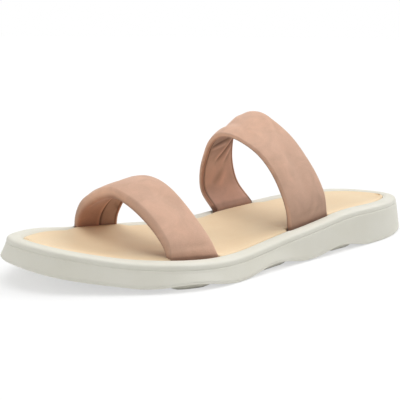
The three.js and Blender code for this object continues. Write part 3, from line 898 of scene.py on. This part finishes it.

# %% [markdown]
# ## The linings
# Inside each band a thinner strip of the same hide covers the foam between the turned margins. It is pulled
# less tightly than the outside, so it puckers, most of all where the band bends hardest. It could be painted
# on the band's inner side. As its own closed slab, set into the bed that the turned margins leave, it has a
# real edge that casts a thin shadow. Its tone adds painted shade in the folds, beside the margins and at the
# feet, and painted light on the ridges.

# %% Line the bands
# a fold with a negative depth is a ridge
TOE_LINING_FOLDS = [
    {"from": (0.8, 0.5), "to": (0.86, 1.0), "wide": 2.4, "deep": 0.3},
    {"from": (0.3, 0.1), "to": (0.36, 0.9), "wide": 3.0, "deep": 0.2},
]
INSTEP_LINING_FOLDS = [
    {"from": (0.728, 0.98), "to": (0.8, 0.37), "wide": 2.0, "deep": 1.1},
    {"from": (0.716, 0.93), "to": (0.785, 0.35), "wide": 2.2, "deep": -0.8},
    {"from": (0.712, 0.82), "to": (0.702, 0.04), "wide": 2.0, "deep": 1.0},
    {"from": (0.728, 0.7), "to": (0.717, 0.06), "wide": 2.2, "deep": -0.8},
    {"from": (0.752, 0.93), "to": (0.81, 0.62), "wide": 2.2, "deep": -0.5},
    {"from": (0.768, 0.95), "to": (0.826, 0.68), "wide": 2.2, "deep": 0.4},
    {"from": (0.838, 0.68), "to": (0.905, 0.24), "wide": 4.5, "deep": 0.45},
    {"from": (0.845, 0.74), "to": (0.92, 0.44), "wide": 4.0, "deep": -0.35},
    {"from": (0.2, 0.1), "to": (0.26, 0.9), "wide": 3.0, "deep": 0.25},
]
TOE_BAND["lining_folds"] = TOE_LINING_FOLDS
INSTEP_BAND["lining_folds"] = INSTEP_LINING_FOLDS
LINING_THICK = 0.9
PUFF = 0.25


def sew_lining(name, band):
    place, tone = band["stations"], band["tone"]
    wide, full, s = place["wide"][:, None], place["full"][:, None], place["s"][:, None]
    start, end = band["turned_front"] + 0.75, wide - band["edge_round"] - 0.1
    share = np.linspace(0, 1, INSIDE_POINTS)[None]
    w = start + (end - start) * share
    from_edge = np.minimum(share, 1 - share) * (end - start)
    bed = band["lining_sink"] * full - thickness(band, full)
    folds = crease_depth(band["lining_folds"], s, share, place["long"], end - start)
    slab = LINING_THICK * (0.35 + 0.65 * soft_step(from_edge, 0, 0.8)) * np.maximum(full, 0.2)
    face = bed - slab + (folds - PUFF * soft_step(from_edge, 0, 3)) * full
    back = np.broadcast_to(bed, w.shape)
    piece = sew_piece(name, place, np.hstack([w, w[:, ::-1]]), np.hstack([face, back]))
    # painted shadow beside the folded margin's lip, painted shade in the folds and painted light on the ridges,
    # painted tone at the crest and the inner foot, and a painted contact shadow at the feet
    lip_shadow = 1 - soft_step(from_edge, 0.1, tone["lip"] * 4.5 - 0.4)
    shade = np.clip(folds, -0.5, 0.8) * 0.9 + np.where(share < 0.5, 0.8, 0.3) * lip_shadow
    crest_shade, foot_shade = tone["lining_shade"]
    shade = shade + crest_shade + (foot_shade - crest_shade) * soft_step(s, 0.68, 0.86)
    contact_shadow = 1 - soft_step(above_footbed(band, s, place["long"]), 0.2, 2.2)
    shade = shade + (0.8 - shade) * contact_shadow * 0.5
    store(piece, "shade", np.hstack([shade, shade[:, ::-1]]))
    return piece


toe_lining = sew_lining("toe_band_lining", TOE_BAND)
instep_lining = sew_lining("instep_band_lining", INSTEP_BAND)

# %% [markdown]
# ## Shared effects
# Three effects are used by more than one material: colour that drifts over a surface, a fine grain, and a
# nap. Each is a node group with named inputs, so one drawing serves rubber, smooth leather and brushed
# leather with different numbers. The groups give out colours and values only, and the shader stays in the
# material.

# %% Node helpers
NOISE, CELLS = "ShaderNodeTexNoise", "ShaderNodeTexVoronoi"


def feed(tree, value, socket):
    # an output of another node is linked, and a plain value is typed in
    if isinstance(value, bpy.types.NodeSocket):
        tree.links.new(value, socket)
    else:
        socket.default_value = value


def new_group(name, inputs, outputs):
    group = bpy.data.node_groups.new(name, "ShaderNodeTree")
    for label, kind, value in inputs:
        socket = group.interface.new_socket(label, in_out="INPUT", socket_type=kind)
        socket.default_value = value
    for label, kind in outputs:
        group.interface.new_socket(label, in_out="OUTPUT", socket_type=kind)
    start = group.nodes.new("NodeGroupInput")
    end = group.nodes.new("NodeGroupOutput")
    return group, start, end


def add(tree, kind, **settings):
    node = tree.nodes.new(kind)
    for key, value in settings.items():
        if key.startswith("in_"):
            node.inputs[key[3:].replace("_", " ")].default_value = value
        else:
            setattr(node, key, value)
    return node


def math_node(tree, operation, a, b):
    node = add(tree, "ShaderNodeMath", operation=operation)
    feed(tree, a, node.inputs[0])
    feed(tree, b, node.inputs[1])
    return node.outputs[0]


def map_range(tree, value, low, high, start=0.0, end=1.0):
    node = add(tree, "ShaderNodeMapRange")
    for name, number in (("From Min", start), ("From Max", end), ("To Min", low), ("To Max", high)):
        node.inputs[name].default_value = number
    feed(tree, value, node.inputs["Value"])
    return node.outputs["Result"]


def mix_colours(tree, amount, first, second):
    node = add(tree, "ShaderNodeMix", data_type="RGBA")
    feed(tree, amount, node.inputs["Factor"])
    # this node has a set of sockets for each kind of value, and the colours' are numbers 6 and 7
    feed(tree, first, node.inputs[6])
    feed(tree, second, node.inputs[7])
    return node.outputs[2]


def texture(tree, kind, size, **settings):
    node = add(tree, kind, **settings)
    feed(tree, add(tree, "ShaderNodeTexCoord").outputs["Object"], node.inputs["Vector"])
    feed(tree, size, node.inputs["Scale"])
    return node.outputs


kinds = [name for name in dir(bpy.types) if name.startswith("ShaderNode")]
print("Blender", bpy.app.version_string, "offers", len(kinds), "kinds of shader node")


# %% [markdown]
# ## Colour that drifts
# No hide and no batch of rubber has one flat colour. A broad noise blends two near colours in soft patches.
# It reads the object's own coordinates, so the patches stay on the leather when the shoe is moved.

# %% Group: colour that drifts
COLOUR, NUMBER = "NodeSocketColor", "NodeSocketFloat"
drift, start, end = new_group(
    "colour_drift",
    [
        ("Colour", COLOUR, (0.5, 0.5, 0.5, 1)),
        ("Second Colour", COLOUR, (0.4, 0.4, 0.4, 1)),
        ("Patch Size", NUMBER, 40.0),
        ("Amount", NUMBER, 0.5),
    ],
    [("Colour", COLOUR)],
)
broad = texture(drift, NOISE, start.outputs["Patch Size"], in_Detail=4.0, in_Roughness=0.6)
patches = map_range(drift, broad["Fac"], 0, 1, 0.3, 0.7)
amount = math_node(drift, "MULTIPLY", patches, start.outputs["Amount"])
blended = mix_colours(drift, amount, start.outputs["Colour"], start.outputs["Second Colour"])
feed(drift, blended, end.inputs["Colour"])
print("colour_drift:", len(drift.nodes), "nodes")

# %% [markdown]
# ## Fine grain
# Smooth leather has pores in small cells, and moulded rubber has a faint pebble. Both are a field of cells
# with a softer wave under it. The group gives the height for a bump, and the ridges between the pores alone,
# by which a material can be duller there than in its pores.

# %% Group: fine grain of leather and moulded rubber
grain, start, end = new_group(
    "fine_grain",
    [("Grain Size", NUMBER, 900.0), ("Pores", NUMBER, 0.5), ("Waves", NUMBER, 0.3)],
    [("Height", NUMBER), ("Ridges", NUMBER)],
)
pore_size = start.outputs["Grain Size"]
cells = texture(grain, CELLS, pore_size, feature="SMOOTH_F1", in_Smoothness=0.6)["Distance"]
wave_size = math_node(grain, "MULTIPLY", pore_size, 0.12)
swell = texture(grain, NOISE, wave_size, in_Detail=3.0)["Fac"]
pore_part = math_node(grain, "MULTIPLY", cells, start.outputs["Pores"])
wave_part = math_node(grain, "MULTIPLY", swell, start.outputs["Waves"])
feed(grain, math_node(grain, "ADD", pore_part, wave_part), end.inputs["Height"])
feed(grain, cells, end.inputs["Ridges"])
print("fine_grain:", len(grain.nodes), "nodes")

# %% [markdown]
# ## Brushed nap
# A brushed hide has short fibres that lie this way and that, so it looks cloudy wherever a hand has stroked
# it. Fine noise stands for the fibres and broader, pulled noise for the strokes.

# %% Group: brushed nap
nap, start, end = new_group(
    "brushed_nap",
    [("Nap Size", NUMBER, 1400.0), ("Stroke", NUMBER, 0.5)],
    [("Height", NUMBER), ("Shade", NUMBER)],
)
fibres = texture(nap, NOISE, start.outputs["Nap Size"], in_Detail=6.0, in_Roughness=0.7)["Fac"]
strokes = texture(nap, NOISE, 90.0, in_Detail=3.0, in_Distortion=0.8)["Fac"]
stroke_part = math_node(nap, "MULTIPLY", strokes, start.outputs["Stroke"])
fibre_part = math_node(nap, "MULTIPLY", fibres, 0.4)
feed(nap, fibres, end.inputs["Height"])
feed(nap, math_node(nap, "ADD", fibre_part, stroke_part), end.inputs["Shade"])
print("brushed_nap:", len(nap.nodes), "nodes")

# %% [markdown]
# ## The colours
# Every finish has a main colour and a deeper one for its patches. They are written as a screen shows them
# and turned into the linear values that shaders work with. A colour typed in straight would come out pale.

# %% Colours


def from_screen(r, g, b):
    values = np.array([r, g, b]) / 255
    linear = np.where(values <= 0.04045, values / 12.92, ((values + 0.055) / 1.055) ** 2.4)
    return (*[float(v) for v in linear], 1.0)


IVORY = from_screen(234, 232, 221)
IVORY_DEEP = from_screen(226, 223, 208)
TAN = from_screen(250, 227, 191)
TAN_DEEP = from_screen(240, 211, 171)
BLUSH = from_screen(222, 182, 158)
BLUSH_DEEP = from_screen(211, 170, 145)
# a darker copy of the blush, painted shade for the folded-in leather and the band's feet
FOLD_SHADE_COLOUR = from_screen(184, 139, 119)
LINING = from_screen(214, 176, 158)
LINING_DEEP = from_screen(199, 158, 138)
print("Linear blush:", [round(v, 3) for v in BLUSH[:3]])

# %% [markdown]
# ## Moulded rubber
# The sole is pale satin rubber, faintly mottled. Its skin is a low bump, a little duller on the ridges of
# the grain. A photograph of rubber could be wrapped round the sole, but it would have to be unwrapped and
# would show seams. Noise in the object's own space has none, so every finish here is made of it.

# %% Finish: moulded rubber


def new_material(name, roughness, **settings):
    material = bpy.data.materials.new(name)
    material.use_nodes = True
    tree = material.node_tree
    shader = tree.nodes["Principled BSDF"]
    shader.inputs["Roughness"].default_value = roughness
    for key, value in settings.items():
        shader.inputs[key.replace("_", " ")].default_value = value
    return material, tree, shader


def use_group(tree, group, **values):
    node = add(tree, "ShaderNodeGroup", node_tree=group)
    for key, value in values.items():
        node.inputs[key.replace("_", " ")].default_value = value
    return node


def bump(tree, shader, height, strength, distance):
    node = add(tree, "ShaderNodeBump", in_Strength=strength, in_Distance=distance)
    feed(tree, height, node.inputs["Height"])
    feed(tree, node.outputs["Normal"], shader.inputs["Normal"])


def smooth_skin(material, tree, shader, colours, grain_values, bump_values, gloss):
    colour = use_group(tree, drift, **colours)
    feed(tree, colour.outputs["Colour"], shader.inputs["Base Color"])
    skin = use_group(tree, grain, **grain_values)
    bump(tree, shader, skin.outputs["Height"], *bump_values)
    feed(tree, map_range(tree, skin.outputs["Ridges"], *gloss), shader.inputs["Roughness"])
    print(material.name, "has", len(tree.nodes), "nodes")
    return material


rubber = smooth_skin(
    *new_material("ivory_rubber", 0.5, Specular_IOR_Level=0.4),
    {"Colour": IVORY, "Second_Colour": IVORY_DEEP, "Patch_Size": 28.0, "Amount": 0.7},
    {"Grain_Size": 1600.0, "Pores": 0.35, "Waves": 0.5},
    (0.12, 0.0004),
    (0.44, 0.6),
)

# %% [markdown]
# ## Smooth leather
# The footbed's leather is made the same way with larger pores and a thin finish over it: a weak coat, which
# gives a second, softer highlight, as wax or lacquer does on a real hide. A lower roughness alone would make
# the whole hide look wet.

# %% Finish: smooth tan leather
tan = smooth_skin(
    *new_material("tan_leather", 0.42, Specular_IOR_Level=0.45, Coat_Weight=0.08, Coat_Roughness=0.35),
    {"Colour": TAN, "Second_Colour": TAN_DEEP, "Patch_Size": 32.0, "Amount": 0.55},
    {"Grain_Size": 1100.0, "Pores": 0.5, "Waves": 0.45},
    (0.16, 0.0005),
    (0.36, 0.56),
)

# %% [markdown]
# ## Brushed leather
# The bands are matt, with a weak sheen from the nap at their edges. Strands of hair could stand for the nap,
# but such short fibres would weigh far more than they show. The folded-in leather and the feet take a darker
# colour by an attribute, which is painted shade. The nap and the painted light and shade of the attribute
# "shade" make the base colour darker or paler. The lining is the same hide, thinner and smoother, with finer
# fibres and a flatter nap.

# %% Finish: brushed leather, outside and lining
NAP_RANGE = (0.86, 1.12)
SHADE_RANGE = (1.6, 0.4)  # what the colour is multiplied by where "shade" is -1 and where it is 1


def brushed_leather(name, light, deep, nap_size, strength, sheen):
    material, tree, shader = new_material(
        name, 0.9, Specular_IOR_Level=0.2, Sheen_Weight=sheen, Sheen_Roughness=0.45
    )
    colour = use_group(tree, drift, Colour=light, Second_Colour=deep, Patch_Size=45.0, Amount=0.75)
    # the folded-in leather and the band's feet take a darker colour, which is painted shade
    fold_shade = add(tree, "ShaderNodeAttribute", attribute_name="fold_shade").outputs["Fac"]
    hide = mix_colours(tree, fold_shade, colour.outputs["Colour"], FOLD_SHADE_COLOUR)
    fluff = use_group(tree, nap, Nap_Size=nap_size, Stroke=0.6)
    cloudy = map_range(tree, fluff.outputs["Shade"], *NAP_RANGE, 0.3, 0.75)
    # painted light and shade from the mesh, as a factor on the colour
    shade = add(tree, "ShaderNodeAttribute", attribute_name="shade").outputs["Fac"]
    depth = map_range(tree, shade, *SHADE_RANGE, -1.0, 1.0)
    tint = add(tree, "ShaderNodeVectorMath", operation="SCALE")
    feed(tree, hide, tint.inputs[0])
    feed(tree, math_node(tree, "MULTIPLY", cloudy, depth), tint.inputs["Scale"])
    feed(tree, tint.outputs["Vector"], shader.inputs["Base Color"])
    bump(tree, shader, fluff.outputs["Height"], strength, 0.0004)
    print(name, "has", len(tree.nodes), "nodes")
    return material


blush = brushed_leather("blush_brushed_leather", BLUSH, BLUSH_DEEP, 1500.0, 0.35, 0.25)
lining_finish = brushed_leather("lining_leather", LINING, LINING_DEEP, 1900.0, 0.2, 0.1)

# %% [markdown]
# ## Putting it together
# Each piece rides on the shoe's one body and stands for the CAD node whose place it takes. A lining shares
# its band's node. The bands are padded: foam fills them.

# %% Hand each piece to the frame
# the piece, its finish, its slot, the CAD node, and for a padded piece how full it is
PIECES = [
    (sole, rubber, "sole_rubber", "sole_unit", None),
    (footbed, tan, "insole_leather", "insole", None),
    (toe_band, blush, "band_nubuck", "strap_front", 0.75),
    (instep_band, blush, "band_nubuck", "strap_rear", 0.75),
    (toe_lining, lining_finish, "band_nubuck", "strap_front", None),
    (instep_lining, lining_finish, "band_nubuck", "strap_rear", None),
]
for piece, finish, slot, node, fill in PIECES:
    piece.data.materials.append(finish)
    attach(piece, "root")
    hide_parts(node)
print("Pieces:", [piece.name for piece, *_ in PIECES])

# %% [markdown]
# ## The floor
# The shoe stands on a pale sheet that runs on to the horizon, so no edge of it comes into any view. The
# camera sees the floor partly as a light of its own, so it is near white and keeps the shoe's soft shadow. A
# curved studio sweep would do from the front, but it would stand in the way of a view from behind.

# %% Floor
REACH = 6.0
GLOW = 0.55
floor_mesh = bpy.data.meshes.new("floor")
corners = [(-REACH, -REACH, 0), (REACH, -REACH, 0), (REACH, REACH, 0), (-REACH, REACH, 0)]
floor_mesh.from_pydata(corners, [], [(0, 1, 2, 3)])
floor = bpy.data.objects.new("floor", floor_mesh)
bpy.context.scene.collection.objects.link(floor)
paper, tree, shader = new_material("pale_floor", 0.9, Specular_IOR_Level=0.1)
shader.inputs["Base Color"].default_value = (0.93, 0.93, 0.93, 1)
glow = add(tree, "ShaderNodeEmission", in_Strength=1.05)
glowing = math_node(tree, "MULTIPLY", add(tree, "ShaderNodeLightPath").outputs["Is Camera Ray"], GLOW)


def blend_shaders(tree, amount, first, second, target):
    node = add(tree, "ShaderNodeMixShader")
    for source, socket in zip((amount, first, second), node.inputs):
        feed(tree, source, socket)
    feed(tree, node.outputs[0], target.inputs["Surface"])


blend_shaders(tree, glowing, shader.outputs[0], glow.outputs[0], tree.nodes["Material Output"])
floor.data.materials.append(paper)
floor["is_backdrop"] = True
print("Floor is", 2 * REACH, "m wide")

# %% [markdown]
# ## The studio light
# The shoe was shot on white under a wide soft light from above. A sun with a very wide angle lights a large
# floor evenly, which a lamp nearby can't do, and a pale sky fills the shadows. The sky is brighter to the
# camera than to the shoe, so the background is white and the shadows keep their depth.

# %% Sky and lamps
world = bpy.data.worlds.new("studio")
bpy.context.scene.world = world
world.use_nodes = True
tree = world.node_tree
sky = tree.nodes["Background"]
sky.inputs["Color"].default_value = (1, 1, 1, 1)
sky.inputs["Strength"].default_value = 0.285
backdrop = add(tree, "ShaderNodeBackground", in_Color=(1, 1, 1, 1), in_Strength=1.0)
seen = add(tree, "ShaderNodeLightPath").outputs["Is Camera Ray"]
blend_shaders(tree, seen, sky.outputs[0], backdrop.outputs[0], tree.nodes["World Output"])
SUN_ANGLE = math.radians(40)
SUNS = {
    "top_light": (1.25, (0, 0, -1)),
    "heel_side_light": (1.27, (1, 0, -1)),
    "toe_side_light": (0.32, (-1, 0, -1)),
    "inner_side_light": (0.26, (0, 1, -1)),
}
for name, (strength, toward) in SUNS.items():
    data = bpy.data.lights.new(name, "SUN")
    data.energy = strength
    data.angle = SUN_ANGLE
    lamp = bpy.data.objects.new(name, data)
    lamp.rotation_mode = "QUATERNION"
    lamp.rotation_quaternion = Vector(toward).to_track_quat("-Z", "Y")
    bpy.context.scene.collection.objects.link(lamp)
bpy.context.scene.view_settings.view_transform = "Standard"
print("Suns and their strengths:", {name: strength for name, (strength, _) in SUNS.items()})

# %% [markdown]
# ## Sizes
# The box of the finished pieces is set beside the CAD model's. The two agree to about a tenth of a
# millimetre, since both are drawn from the same lines.

# %% Set the sizes side by side and finish
shown_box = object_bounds()
sizes = {"cad": cad_box, "shown": shown_box}
sizes = {name: [list(map(float, corner)) for corner in box] for name, box in sizes.items()}
print("Shown box in mm:", [[round(v / MM, 1) for v in corner] for corner in shown_box])
